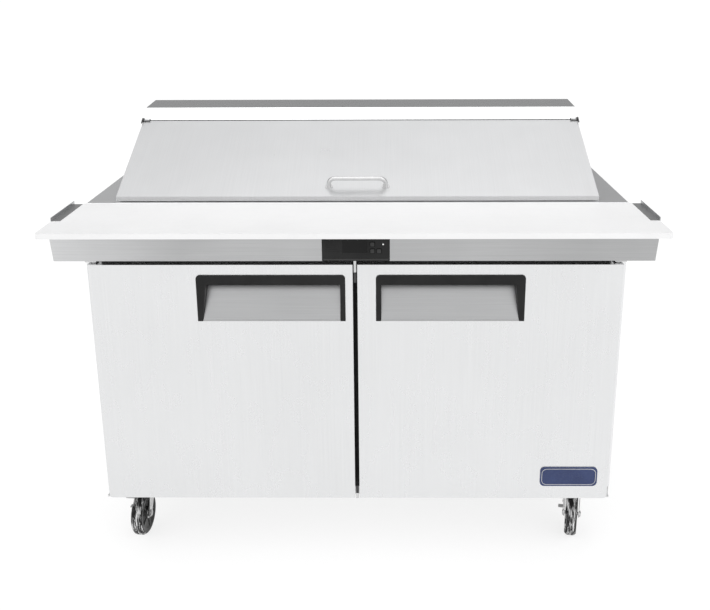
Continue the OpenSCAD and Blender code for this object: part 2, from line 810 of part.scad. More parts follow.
// Bow handle: a round bar on two legs with small feet
module lid_handle() color(STEEL) {
    foot = lid_point(handle_s, 0);
    bend = 18;
    translate([0, foot[0], foot[1]]) rotate([lid_slope, 0, 0]) {
        rod_x([-handle_w / 2 + bend, 0, handle_rise], handle_w - 2 * bend, handle_r);
        for (side = [LEFT, RIGHT]) on_side(side) {
            rod_z([handle_w / 2, 0, 0], handle_rise - bend, handle_r);
            rod_z([handle_w / 2, 0, 0], 2, 11);
            translate([handle_w / 2 - bend, 0, handle_rise - bend])
                rotate([90, 0, 0]) rotate_extrude(angle = 90) translate([bend, 0])
                    circle(handle_r);
        }
    }
}

// ---------- casters ----------

// Where each caster stands, and how far its fork is turned
function caster_place(i) = [
    [-caster_x, caster_front, -6], [caster_x, caster_front, -14],
    [-caster_x, caster_rear, 170], [caster_x, caster_rear, 196]
][i];

module at_caster(i) {
    place = caster_place(i);
    translate([place[0], place[1], 0]) rotate([0, 0, place[2]]) children();
}

// Mounting plates with their bolts, raceways and kingpins
module caster_plates() color(DARK_STEEL) for (i = [0:3]) {
    place = caster_place(i);
    translate([place[0], place[1], 0]) {
        translate([0, 0, base_z - plate_t]) linear_extrude(plate_t) round_rect(96, 68, 6);
        for (x = [-38, 38], y = [-24, 24])
            rod_z([x, y, base_z - plate_t - 4], 4, 6);
        rod_z([0, 0, base_z - 10.5], 10.5 - plate_t, 24);
        rod_z([0, 0, crown_top - crown_t - 2], 14, kingpin_r);
    }
}

// Outline of a fork leg, from the crown down to the axle
module leg_outline() {
    polygon([
        [-26, crown_top - crown_t], [26, crown_top - crown_t],
        [-caster_trail + 11, wheel_d / 2], [-caster_trail - 11, wheel_d / 2]
    ]);
    translate([-caster_trail, wheel_d / 2]) circle(11);
}

module fork(i, braked) color(STEEL) at_caster(i) {
    difference() {
        union() {
            rod_z([0, 0, crown_top - crown_t], crown_t, 30);
            block([-leg_out, leg_out], [-26, 26], [crown_top - crown_t, crown_top - 4]);
        }
        rod_z([0, 0, crown_top - crown_t - 1], crown_t + 2, kingpin_r + fit);
    }
    for (side = [LEFT, RIGHT]) on_side(side)
        translate([leg_in, 0, 0]) rotate([90, 0, 90]) linear_extrude(leg_t) leg_outline();
    rod_x([-leg_out - 4, -caster_trail, wheel_d / 2], 2 * leg_out + 8, axle_r);
    for (side = [LEFT, RIGHT]) on_side(side)
        rod_x([leg_out, -caster_trail, wheel_d / 2], 3, 9);
    if (braked) rod_x([-leg_out - 5, brake_y, brake_z], 6, brake_pin_r);
}

module wheel(i) color(RUBBER) at_caster(i)
    translate([0, -caster_trail, wheel_d / 2]) rotate([0, 90, 0]) rotate([0, 0, 90])
        rotate_extrude() polygon([
            [axle_r + fit, -hub_w / 2], [17, -hub_w / 2], [20, -9], [46, -9],
            [50, -wheel_w / 2], [wheel_d / 2 - 5, -wheel_w / 2],
            [wheel_d / 2 - 1, -wheel_w / 2 + 5], [wheel_d / 2, -wheel_w / 2 + 10],
            [wheel_d / 2, wheel_w / 2 - 10], [wheel_d / 2 - 1, wheel_w / 2 - 5],
            [wheel_d / 2 - 5, wheel_w / 2], [50, wheel_w / 2], [46, 9], [20, 9],
            [17, hub_w / 2], [axle_r + fit, hub_w / 2]
        ]);

// Side brake lever: a plate on the left leg with a foot tab turned outwards
module brake(i) color(STEEL) at_caster(i) {
    x = -leg_out - touch;
    difference() {
        union() {
            block([x - 2.5, x], [brake_y - 8, brake_y + 8], [brake_z - 16, brake_z + 14]);
            block([x - 26, x], [brake_y - 8, brake_y + 8], [brake_z + 12, brake_z + 14.5]);
            block([x - 16, x], [brake_y - 8, brake_y + 8], [brake_z - 18.5, brake_z - 16]);
        }
        rod_x([x - 4, brake_y, brake_z], 6, brake_pin_r + fit);
    }
}

// ---------- assembly ----------

base_frame();
side_panel(LEFT);  // side_panel_left
side_panel(RIGHT);  // side_panel_right
back_panel();
cabinet_foam();
cabinet_liner();
front_frame();
door_hinges();
shelf(LEFT);  // shelf_left
shelf(RIGHT);  // shelf_right
shelf_supports();
evaporator();
evaporator_fan();
compressor();
condenser();
condenser_fan();
machine_grille();
power_inlet();
worktop();
front_apron();
board_brackets();
cutting_board();
pan_rails();
pan_row(-1);  // pans_front
pan_row(0);  // pans_middle
pan_row(1);  // pans_rear
control_panel();
control_display();
button(0);  // button_set
button(1);  // button_up
button(2);  // button_down
door_skin(LEFT);  // door_left_skin
door_liner(LEFT);  // door_left_liner
door_gasket(LEFT);  // door_left_gasket
door_bezel(LEFT);  // door_left_bezel
door_grip(LEFT);  // door_left_grip
door_skin(RIGHT);  // door_right_skin
door_liner(RIGHT);  // door_right_liner
door_gasket(RIGHT);  // door_right_gasket
door_bezel(RIGHT);  // door_right_bezel
door_grip(RIGHT);  // door_right_grip
badge();
hood_hinges();
hood_top();
hood_side(LEFT);  // hood_side_left
hood_side(RIGHT);  // hood_side_right
lid_panel();
lid_liner();
lid_handle();
caster_plates();
fork(0, true);  // fork_front_left
fork(1, true);  // fork_front_right
fork(2, false);  // fork_rear_left
fork(3, false);  // fork_rear_right
wheel(0);  // wheel_front_left
wheel(1);  // wheel_front_right
wheel(2);  // wheel_rear_left
wheel(3);  // wheel_rear_right
brake(0);  // brake_left
brake(1);  // brake_right
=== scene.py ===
"""Looks of the sandwich prep table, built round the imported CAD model. Units are metres."""
import json
import math

import bmesh
import bpy
from mathutils import Matrix, Vector


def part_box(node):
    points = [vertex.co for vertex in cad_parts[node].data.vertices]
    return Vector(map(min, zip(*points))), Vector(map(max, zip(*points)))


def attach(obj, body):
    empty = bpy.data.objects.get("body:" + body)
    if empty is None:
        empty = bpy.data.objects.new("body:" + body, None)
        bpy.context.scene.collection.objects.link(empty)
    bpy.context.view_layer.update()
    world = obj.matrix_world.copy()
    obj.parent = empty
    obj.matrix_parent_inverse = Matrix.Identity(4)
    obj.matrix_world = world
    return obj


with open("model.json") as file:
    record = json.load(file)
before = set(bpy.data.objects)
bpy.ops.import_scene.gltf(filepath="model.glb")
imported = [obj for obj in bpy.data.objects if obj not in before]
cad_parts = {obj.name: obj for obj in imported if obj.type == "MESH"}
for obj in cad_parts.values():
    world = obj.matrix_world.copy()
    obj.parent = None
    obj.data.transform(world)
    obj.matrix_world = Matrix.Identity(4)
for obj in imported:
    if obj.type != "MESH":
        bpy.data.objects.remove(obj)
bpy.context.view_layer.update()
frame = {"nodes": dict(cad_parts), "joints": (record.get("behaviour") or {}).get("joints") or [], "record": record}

scene = bpy.context.scene
nodes = frame["nodes"]
SLOT_OF = {part["node"]: part["material_slot"] for part in frame["record"]["subparts"]}
JOINTS = {joint["name"]: joint for joint in frame["joints"]}
CASTERS = ("front_left", "front_right", "rear_left", "rear_right")


# ---------- camera ----------
LENS_MM = 46.52
LENS_SHIFT = (-0.0312, -0.0738)
CAMERA_AT = (0.0792, -2.537, 1.5534)
CAMERA_TURN, CAMERA_TILT, CAMERA_ROLL = 0.587, 90.0 - 16.759, -0.23      # degrees


def make_camera():
    data = bpy.data.cameras.new("camera")
    data.sensor_fit = "HORIZONTAL"
    data.sensor_width = 36.0
    data.lens = LENS_MM
    data.shift_x, data.shift_y = LENS_SHIFT
    data.clip_end = 400.0
    camera = bpy.data.objects.new("camera", data)
    scene.collection.objects.link(camera)
    turn = Matrix.Rotation(math.radians(CAMERA_TURN), 4, "Z")
    tilt = Matrix.Rotation(math.radians(CAMERA_TILT), 4, "X")
    roll = Matrix.Rotation(math.radians(CAMERA_ROLL), 4, "Z")
    camera.matrix_world = Matrix.Translation(CAMERA_AT) @ turn @ tilt @ roll
    scene.camera = camera


# ---------- node helpers ----------
def new_material(name):
    material = bpy.data.materials.new(name)
    material.use_nodes = True
    tree = material.node_tree
    shader = next(n for n in tree.nodes if n.type == "BSDF_PRINCIPLED")
    return material, tree, shader


def add(tree, kind, **inputs):
    node = tree.nodes.new(kind)
    for key, value in inputs.items():
        node.inputs[key.replace("_", " ")].default_value = value
    return node


def noise(tree, scale, detail=4.0, stretch=(1.0, 1.0, 1.0), roughness=0.55):
    """A noise texture in the object's own coordinates, drawn out by stretch."""
    place = tree.nodes.new("ShaderNodeTexCoord")
    mapping = tree.nodes.new("ShaderNodeMapping")
    mapping.inputs["Scale"].default_value = stretch
    tree.links.new(place.outputs["Object"], mapping.inputs["Vector"])
    node = add(tree, "ShaderNodeTexNoise", Scale=scale, Detail=detail, Roughness=roughness)
    tree.links.new(mapping.outputs["Vector"], node.inputs["Vector"])
    return node.outputs["Fac"]


def remap(tree, value, low, high, from_low=0.3, from_high=0.7):
    """A value spread from one range to another, and held at its ends."""
    node = tree.nodes.new("ShaderNodeMapRange")
    for key, number in (("From Min", from_low), ("From Max", from_high),
                        ("To Min", low), ("To Max", high)):
        node.inputs[key].default_value = number
    tree.links.new(value, node.inputs["Value"])
    return node.outputs["Result"]


def tint(tree, value, dark, light, from_low=0.3, from_high=0.7):
    """A colour between dark and light, by a texture value."""
    ramp = tree.nodes.new("ShaderNodeValToRGB")
    first, last = ramp.color_ramp.elements
    first.position, last.position = from_low, from_high
    first.color = (*dark, 1.0)
    last.color = (*light, 1.0)
    tree.links.new(value, ramp.inputs["Fac"])
    return ramp.outputs["Color"]


def mixed(tree, a, b, factor):
    """Colour a multiplied by b, as far as factor says."""
    node = tree.nodes.new("ShaderNodeMix")
    node.data_type = "RGBA"
    node.blend_type = "MULTIPLY"
    node.inputs["Factor"].default_value = factor
    tree.links.new(a, node.inputs[6])
    tree.links.new(b, node.inputs[7])
    return node.outputs[2]


def bump(tree, shader, value, strength, distance, before=None):
    """Relief from a texture value, on top of the relief in before."""
    node = add(tree, "ShaderNodeBump", Strength=strength, Distance=distance)
    tree.links.new(value, node.inputs["Height"])
    if before is not None:
        tree.links.new(before, node.inputs["Normal"])
    tree.links.new(node.outputs["Normal"], shader.inputs["Normal"])
    return node.outputs["Normal"]


def grey(level, warm=0.0):
    """A grey, with a little more red and less blue where warm is above 0."""
    return (level * (1.0 + warm), level, level * (1.0 - warm))


def paint_shading_along(tree, colour, axis, low, dark, high, light):
    """Painted shading: scale a colour from dark at low to light at high, in metres along one of the axes."""
    place = tree.nodes.new("ShaderNodeTexCoord")
    split = tree.nodes.new("ShaderNodeSeparateXYZ")
    tree.links.new(place.outputs["Object"], split.inputs["Vector"])
    return mixed(tree, colour, remap(tree, split.outputs[axis], dark, light, low, high), 1.0)


# ---------- materials ----------
def brushed(name, level, rough, stretch, spread=0.03, cloud=0.04, grain=0.05, smear=0.035,
            painted_shading=()):
    """Brushed sheet metal: fine grain lines, faint clouding and fingerprints in the gloss, and painted light and
    shade along its own axes where painted_shading is given.
    """
    material, tree, shader = new_material(name)
    lines = noise(tree, 9.0, 6.0, stretch)
    clouds = noise(tree, 2.3, 3.0)
    smears = noise(tree, 17.0, 5.0, (1.0, 1.0, 0.4))
    base = tint(tree, lines, grey(level - spread / 2, -0.006), grey(level + spread / 2, -0.006))
    shade = tint(tree, clouds, grey(1.0 - cloud), grey(1.0))
    colour = mixed(tree, base, shade, 1.0)
    for painted_ramp in painted_shading:
        colour = paint_shading_along(tree, colour, *painted_ramp)
    tree.links.new(colour, shader.inputs["Base Color"])
    tree.links.new(remap(tree, smears, rough - smear, rough + smear, 0.2, 0.8),
                   shader.inputs["Roughness"])
    shader.inputs["Metallic"].default_value = 1.0
    bump(tree, shader, lines, grain, 0.0003)
    return material


def plastic(name, dark, light, rough, grain=260.0, depth=0.00012, strength=0.35, coat=0.0,
            gloss=0.5):
    """Moulded plastic or rubber with a fine texture and slight changes of shade."""
    material, tree, shader = new_material(name)
    fine = noise(tree, grain, 2.0)
    broad = noise(tree, 14.0, 5.0)
    tree.links.new(tint(tree, broad, dark, light), shader.inputs["Base Color"])
    tree.links.new(remap(tree, fine, rough - 0.06, rough + 0.08), shader.inputs["Roughness"])
    shader.inputs["Coat Weight"].default_value = coat
    shader.inputs["Specular IOR Level"].default_value = gloss
    bump(tree, shader, fine, strength, depth)
    return material


def cutting_board():
    """White board: matte, with shallow knife marks running both ways and a few grey scuffs."""
    material, tree, shader = new_material("board_plastic")
    cuts = noise(tree, 26.0, 8.0, (0.35, 7.0, 1.0), 0.7)
    slants = noise(tree, 22.0, 8.0, (5.0, 0.8, 1.0), 0.7)
    scuffs = noise(tree, 6.0, 6.0)
    base = tint(tree, scuffs, grey(0.78), grey(0.81))
    # Painted shade: the board 4% darker towards its front edge.
    base = paint_shading_along(tree, base, "Y", BOARD[0].y, 0.96, BOARD[1].y, 1.0)
    marks = tint(tree, cuts, grey(0.93), grey(1.0), 0.36, 0.44)
    tree.links.new(mixed(tree, base, marks, 0.45), shader.inputs["Base Color"])
    tree.links.new(remap(tree, slants, 0.42, 0.58), shader.inputs["Roughness"])
    first = bump(tree, shader, cuts, 0.16, 0.0003)
    bump(tree, shader, slants, 0.12, 0.0003, first)
    return material


def plated(name, level, rough, wear=0.25):
    """Bright plated steel with dull patches and specks."""
    material, tree, shader = new_material(name)
    patches = noise(tree, 38.0, 6.0)
    specks = noise(tree, 240.0, 2.0)
    tree.links.new(tint(tree, patches, grey(level * (1.0 - wear)), grey(level)),
                   shader.inputs["Base Color"])
    tree.links.new(remap(tree, patches, rough + 0.14, rough), shader.inputs["Roughness"])
    shader.inputs["Metallic"].default_value = 1.0
    bump(tree, shader, specks, 0.10, 0.0002)
    return material


def galvanised():
    """Galvanised sheet with its crystal spangle."""
    material, tree, shader = new_material("galvanised")
    place = tree.nodes.new("ShaderNodeTexCoord")
    cells = add(tree, "ShaderNodeTexVoronoi", Scale=70.0)
    tree.links.new(place.outputs["Object"], cells.inputs["Vector"])
    sheen = noise(tree, 5.0, 4.0)
    spangle = tint(tree, cells.outputs["Color"], grey(0.44), grey(0.60), 0.1, 0.9)
    cloud = tint(tree, sheen, grey(0.86), grey(1.0))
    tree.links.new(mixed(tree, spangle, cloud, 1.0), shader.inputs["Base Color"])
    tree.links.new(remap(tree, sheen, 0.48, 0.36), shader.inputs["Roughness"])
    shader.inputs["Metallic"].default_value = 0.85
    bump(tree, shader, cells.outputs["Distance"], 0.05, 0.0003)
    return material


def liner_sheet():
    """Embossed aluminium lining with a pebbled pattern."""
    material, tree, shader = new_material("liner_metal")
    pebbles = noise(tree, 120.0, 1.0)
    cloud = noise(tree, 4.0, 4.0)
    tree.links.new(tint(tree, cloud, grey(0.70), grey(0.80)), shader.inputs["Base Color"])
    tree.links.new(remap(tree, pebbles, 0.26, 0.40), shader.inputs["Roughness"])
    shader.inputs["Metallic"].default_value = 1.0
    bump(tree, shader, pebbles, 0.45, 0.0008)
    return material


def tyre():
    """Dark rubber with pale scuffs."""
    material, tree, shader = new_material("tyre")
    scuffs = noise(tree, 80.0, 8.0, (2.4, 0.35, 0.35), 0.75)
    grit = noise(tree, 600.0, 2.0)
    tree.links.new(tint(tree, scuffs, grey(0.007), grey(0.75), 0.49, 0.60),
                   shader.inputs["Base Color"])
    tree.links.new(remap(tree, grit, 0.50, 0.72), shader.inputs["Roughness"])
    shader.inputs["Specular IOR Level"].default_value = 0.2
    bump(tree, shader, scuffs, 0.5, 0.0006)
    return material


def copper():
    """Copper tube with patches of tarnish."""
    material, tree, shader = new_material("copper_tube")
    tarnish = noise(tree, 60.0, 5.0)
    tree.links.new(tint(tree, tarnish, (0.42, 0.20, 0.11), (0.80, 0.42, 0.26)),
                   shader.inputs["Base Color"])
    tree.links.new(remap(tree, tarnish, 0.42, 0.26), shader.inputs["Roughness"])
    shader.inputs["Metallic"].default_value = 1.0
    bump(tree, shader, tarnish, 0.1, 0.0002)
    return material


ACROSS = (60.0, 0.5, 0.5)      # grain lines that run up and down a front panel
ALONG = (0.5, 60.0, 60.0)      # grain lines that run from left to right
SIDEWAYS = (0.5, 60.0, 0.5)    # grain lines that run up and down a side panel

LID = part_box("lid_panel")
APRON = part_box("front_apron")
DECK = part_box("worktop")
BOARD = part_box("cutting_board")
LIP = 0.012                    # height of the lid's front lip
# Slow changes of painted light and shade, standing in for reflections: axis, start, level there, end, level there
# Painted shade on the lid: the front lip 16% darker, darker towards the bottom, and the left end darker than the
# right.
LID_PAINTED_SHADING = (("Z", LID[0].z + LIP - 0.002, 0.84, LID[0].z + LIP + 0.002, 1.0),
              ("Z", LID[0].z + LIP, 0.95, LID[1].z, 1.0),
              ("X", LID[0].x, 0.96, LID[1].x, 1.04))
# Painted light on the apron's left end, up to 35% lighter, and painted shade towards its right end.
APRON_PAINTED_LIGHT_AND_SHADE = (("X", APRON[0].x, 1.35, APRON[0].x + 0.32, 1.0),
                ("X", 0.0, 1.0, APRON[1].x, 0.94))
# Painted light and shade on the worktop: lighter at the left end, darker at the right.
DECK_PAINTED_LIGHT_AND_SHADE = (("X", DECK[0].x, 1.12, DECK[1].x, 0.96),)

MATERIALS = {
    "stainless_panel": brushed("stainless_panel", 0.755, 0.27, ACROSS),
    "stainless_dark": brushed("stainless_dark", 0.56, 0.30, ALONG),
    "galvanised": galvanised(),
    "foam": plastic("foam", (0.70, 0.62, 0.40), (0.84, 0.77, 0.55), 0.85, 90.0, 0.001, 0.8),
    "liner_metal": liner_sheet(),
    "liner_plastic": plastic("liner_plastic", grey(0.80), grey(0.86), 0.40, 400.0, 0.0001, 0.2),
    "zinc": plated("zinc", 0.72, 0.30),
    "shelf_wire": plastic("shelf_wire", grey(0.74), grey(0.84), 0.28, 300.0, 0.0001, 0.2, 0.4),
    "black_plastic": plastic("black_plastic", grey(0.010), grey(0.018), 0.42, gloss=0.18),
    "display": plastic("display", grey(0.003), grey(0.006), 0.16, 500.0, 0.00002, 0.1,
                       gloss=0.20),
    "button_plastic": plastic("button_plastic", grey(0.022), grey(0.034), 0.55, gloss=0.3),
    "board_plastic": cutting_board(),
    "pan_steel": plated("pan_steel", 0.78, 0.18, 0.10),
    "gasket": plastic("gasket", grey(0.10), grey(0.14), 0.60, 300.0, 0.0003, 0.4),
    "badge_blue": plastic("badge_blue", (0.012, 0.024, 0.088), (0.022, 0.040, 0.125), 0.25,
                          500.0, 0.00003, 0.15, 0.3, 0.35),
    "compressor_black": plastic("compressor_black", grey(0.012), grey(0.03), 0.30,
                                180.0, 0.0003, 0.3, 0.3),
    "coil": brushed("coil", 0.62, 0.38, ALONG, 0.15, 0.2, 0.5),
    "fan_plastic": plastic("fan_plastic", grey(0.02), grey(0.035), 0.45),
    "handle_chrome": plated("handle_chrome", 0.66, 0.14, 0.10),
    "caster_chrome": plated("caster_chrome", 0.72, 0.20, 0.45),
    "tyre": tyre(),
    "side_panel": brushed("side_panel", 0.80, 0.27, SIDEWAYS),
    # The apron is a darker copy of the panel steel: painted shade under the board's overhang.
    "apron": brushed("apron", 0.47, 0.30, ALONG, 0.05, 0.16, painted_shading=APRON_PAINTED_LIGHT_AND_SHADE),
    # grip_steel is a darker copy of stainless_dark: painted shade on the upward-facing grip plates.
    "grip_steel": brushed("grip_steel", 0.40, 0.32, ALONG, 0.04, 0.06),
    # lid_steel is a slightly darker copy of the panel steel, as painted shade, with the lid's painted shading on
    # top.
    "lid_steel": brushed("lid_steel", 0.71, 0.30, ACROSS, painted_shading=LID_PAINTED_SHADING),
    "hood_steel": brushed("hood_steel", 0.76, 0.27, ALONG, 0.03, 0.03, 0.03, 0.01),
    "deck_steel": brushed("deck_steel", 0.86, 0.34, ALONG, 0.03, 0.03, 0.03, 0.01,
                          DECK_PAINTED_LIGHT_AND_SHADE),
    "dark_trim_and_painted_shadow": plated("dark_trim_and_painted_shadow", 0.09, 0.40),
    "copper_tube": copper(),
    "lamp": plastic("lamp", grey(0.75), grey(0.92), 0.20, 300.0, 0.00003, 0.1, 0.5),
    "hub_plastic": plastic("hub_plastic", grey(0.008), grey(0.016), 0.30, 200.0, gloss=0.22),
}
OWN_MATERIAL = {
    "side_panel_left": "side_panel", "side_panel_right": "side_panel",
    "front_apron": "apron", "lid_panel": "lid_steel", "hood_top": "hood_steel",
    "front_frame": "black_plastic", "worktop": "deck_steel",
    "door_left_grip": "grip_steel", "door_right_grip": "grip_steel",
}
SIDES = ("left", "right")
EDGE_WIDTHS = {
    0.0035: ("cutting_board",),
    0.0030: ("lid_liner", *("door_%s_liner" % side for side in SIDES)),
    0.0025: tuple("wheel_" + name for name in CASTERS),
    0.0022: tuple("door_%s_bezel" % side for side in SIDES),
    0.0020: ("compressor", *("hood_side_" + side for side in SIDES)),
    0.0018: ("control_panel", *("door_%s_gasket" % side for side in SIDES)),
    0.0016: ("worktop",),
    0.0014: ("badge", *("door_%s_skin" % side for side in SIDES)),
    0.0012: ("front_apron", "hood_top"),
    0.0010: ("front_frame",),
    0.0008: ("lid_panel", "back_panel", "base_frame", "power_inlet",
             *("side_panel_" + side for side in SIDES), *("brake_" + side for side in SIDES),
             *("door_%s_grip" % side for side in SIDES)),
    0.0007: ("caster_plates",),
    0.0006: ("board_brackets", "door_hinges", "button_set", "button_up", "button_down"),
}
BEVELS = {name: width for width, names in EDGE_WIDTHS.items() for name in names}
WELD_WITHIN = 0.00001
SHARP_DEGREES = 40.0


def dress_cad():
    """Give every CAD node its material, and soften the edges that show."""
    for name, node in nodes.items():
        material = MATERIALS[OWN_MATERIAL.get(name, SLOT_OF[name])]
        if not node.material_slots:
            node.data.materials.append(material)
        for slot in node.material_slots:
            slot.material = material
        if name in BEVELS:
            weld = node.modifiers.new("weld", "WELD")
            weld.merge_threshold = WELD_WITHIN
            bevel = node.modifiers.new("bevel", "BEVEL")
            bevel.width = BEVELS[name]
            bevel.segments = 2
            bevel.limit_method = "ANGLE"
            bevel.angle_limit = math.radians(SHARP_DEGREES)
            bevel.harden_normals = True


# ---------- mesh helpers ----------
def finish_piece(mesh_data, name, body, material):
    """Turn mesh data into a named object that rides on a body."""
    mesh = bpy.data.meshes.new(name)
    bmesh.ops.recalc_face_normals(mesh_data, faces=mesh_data.faces)
    mesh_data.to_mesh(mesh)
    mesh_data.free()
    mesh.materials.append(MATERIALS[material])
    piece = bpy.data.objects.new(name, mesh)
    scene.collection.objects.link(piece)
    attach(piece, body)
    return piece


def add_block(bm, low, high, edge, place=None):
    """A block between two corners with rounded edges, added to bm and moved by place."""
    low, high = Vector(low), Vector(high)
    made = bmesh.ops.create_cube(bm, size=1.0)
    centre, size = (low + high) / 2, high - low
    for vert in made["verts"]:
        vert.co = Vector(c * s for c, s in zip(vert.co, size)) + centre
    edges = {e for v in made["verts"] for e in v.link_edges}
    out = bmesh.ops.bevel(bm, geom=list(edges), offset=edge, segments=2,
                          affect="EDGES", profile=0.5, clamp_overlap=True)
    if place is not None:
        verts = {v for f in out["faces"] for v in f.verts}
        todo, seen = list(verts), set(verts)
        while todo:
            for link in todo.pop().link_edges:
                for vert in link.verts:
                    if vert not in seen:
                        seen.add(vert)
                        todo.append(vert)
        bmesh.ops.transform(bm, matrix=place, verts=list(seen))


def add_lathe(bm, outline, place, steps=40):
    """A solid of revolution from (radius, height) points about local Z, put at place."""
    rings = []
    for radius, height in outline:
        if radius < 1e-7:
            rings.append([bm.verts.new(place @ Vector((0, 0, height)))])
            continue
        ring = []
        for i in range(steps):
            angle = 2 * math.pi * i / steps
            at = Vector((radius * math.cos(angle), radius * math.sin(angle), height))
            ring.append(bm.verts.new(place @ at))
        rings.append(ring)
    for lower, upper in zip(rings, rings[1:]):
        for i in range(steps):
            j = (i + 1) % steps
            corners = [lower[i % len(lower)], lower[j % len(lower)],
                       upper[j % len(upper)], upper[i % len(upper)]]
            unique = list(dict.fromkeys(corners))
            if len(unique) > 2:
                bm.faces.new(unique)


def smooth(piece, degrees=35.0):
    """Shade smooth, with edges sharper than this kept crisp."""
    mesh = piece.data
    bm = bmesh.new()
    bm.from_mesh(mesh)
    for face in bm.faces:
        face.smooth = True
    for edge in bm.edges:
        if len(edge.link_faces) == 2:
            edge.smooth = edge.calc_face_angle(0.0) < math.radians(degrees)
    bm.to_mesh(mesh)
    bm.free()


def facing(point, direction):
    """A matrix that puts local Z along direction at point."""
    turn = Vector((0, 0, 1)).rotation_difference(Vector(direction)).to_matrix().to_4x4()
    return Matrix.Translation(point) @ turn


def add_screw(bm, point, direction, radius=0.004, height=0.0016):
    """Pan-head screw with a washer face and a recess."""
    add_lathe(bm, [(0, -0.0008), (radius * 1.25, -0.0008), (radius * 1.25, 0.0002),
                   (radius, 0.0003), (radius * 0.93, height * 0.6), (radius * 0.62, height),
                   (radius * 0.34, height), (radius * 0.26, height * 0.35), (0, height * 0.3)],
              facing(point, direction), 20)


def add_tube(bm, points, radius, sides=10):
    """A round tube through points, closed at both ends."""
    points = [Vector(p) for p in points]
    rings = []
    for i, point in enumerate(points):
        ahead = points[min(i + 1, len(points) - 1)] - points[max(i - 1, 0)]
        turn = ahead.to_track_quat("Z", "Y").to_matrix()
        rings.append([bm.verts.new(point + turn @ Vector((radius * math.cos(a),
                                                         radius * math.sin(a), 0)))
                      for a in (2 * math.pi * k / sides for k in range(sides))])
    for lower, upper in zip(rings, rings[1:]):
        for k in range(sides):
            j = (k + 1) % sides
            bm.faces.new((lower[k], lower[j], upper[j], upper[k]))
    bm.faces.new(rings[0])
    bm.faces.new(rings[-1])


def rounded_path(corners, radius, steps=6):
    """Points along straight runs joined by round bends."""
    corners = [Vector(c) for c in corners]
    path = [corners[0]]
    for before, corner, after in zip(corners, corners[1:], corners[2:]):
        start = corner + (before - corner).normalized() * radius
        end = corner + (after - corner).normalized() * radius
        for i in range(steps + 1):
            t = i / steps
            path.append(start * (1 - t) ** 2 + corner * (2 * t * (1 - t)) + end * t ** 2)
    path.append(corners[-1])
    return path


# ---------- controller ----------
VENTS = 7
VENT_PITCH, VENT_HEIGHT = 0.0052, 0.0022
DISPLAY_RIM = 0.0025
LAMP_X, LAMP_ABOVE_MIDDLE = 0.072, 0.013
LAMP = [(0, -0.001), (0.0021, -0.001), (0.0021, 0.0004), (0.0017, 0.0009), (0.0009, 0.0013),
        (0, 0.0014)]


def controller_details():
    """Vent slats, display rim, lamp and lower lip of the controller."""
    low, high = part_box("control_panel")
    face = low.y
    screen_low, screen_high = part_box("control_display")
    bm = bmesh.new()
    for i in range(VENTS):
        z = screen_low.z + 0.0015 + i * VENT_PITCH
        add_block(bm, (low.x + 0.008, face - 0.0008, z),
                  (screen_low.x - 0.007, face + 0.001, z + VENT_HEIGHT), 0.0006)
    smooth(finish_piece(bm, "controller_vents", "cabinet", "black_plastic"))
    bm = bmesh.new()
    rim = DISPLAY_RIM
    x, z = (screen_low.x, screen_high.x), (screen_low.z, screen_high.z)
    for a, b in (((x[0] - rim, z[0] - rim), (x[1] + rim, z[0])),
                 ((x[0] - rim, z[1]), (x[1] + rim, z[1] + rim)),
                 ((x[0] - rim, z[0]), (x[0], z[1])), ((x[1], z[0]), (x[1] + rim, z[1]))):
        add_block(bm, (a[0], face - 0.0009, a[1]), (b[0], face + 0.001, b[1]), 0.0005)
    smooth(finish_piece(bm, "display_rim", "cabinet", "black_plastic"))
    bm = bmesh.new()
    lamp = Vector((LAMP_X, face, (low.z + high.z) / 2 + LAMP_ABOVE_MIDDLE))
    add_lathe(bm, LAMP, facing(lamp, (0, -1, 0)), 20)
    smooth(finish_piece(bm, "controller_lamp", "cabinet", "lamp"))
    bm = bmesh.new()
    add_block(bm, (low.x + 0.003, face - 0.0012, low.z + 0.0015),
              (high.x - 0.003, face + 0.001, low.z + 0.006), 0.0010)
    smooth(finish_piece(bm, "controller_lip", "cabinet", "button_plastic"))


# ---------- cabinet front ----------
def centre_fittings():
    """Bright catches at the top and foot of the gap between the doors, with dark blocks beside."""
    door_low, door_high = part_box("door_right_skin")
    face = door_low.y
    bm = bmesh.new()
    for z0, z1 in ((door_high.z - 0.022, door_high.z + 0.012),
                   (door_low.z - 0.004, door_low.z + 0.012)):
        add_block(bm, (-0.0036, face + 0.004, z0), (0.0036, face + 0.012, z1), 0.001)
    smooth(finish_piece(bm, "centre_catches", "cabinet", "zinc"))
    bm = bmesh.new()
    for z0, z1 in ((door_high.z - 0.050, door_high.z - 0.024),
                   (door_low.z + 0.014, door_low.z + 0.034)):
        add_block(bm, (-0.0040, face + 0.006, z0), (0.0040, face + 0.012, z1), 0.001)
    smooth(finish_piece(bm, "centre_blocks", "cabinet", "dark_trim_and_painted_shadow"))


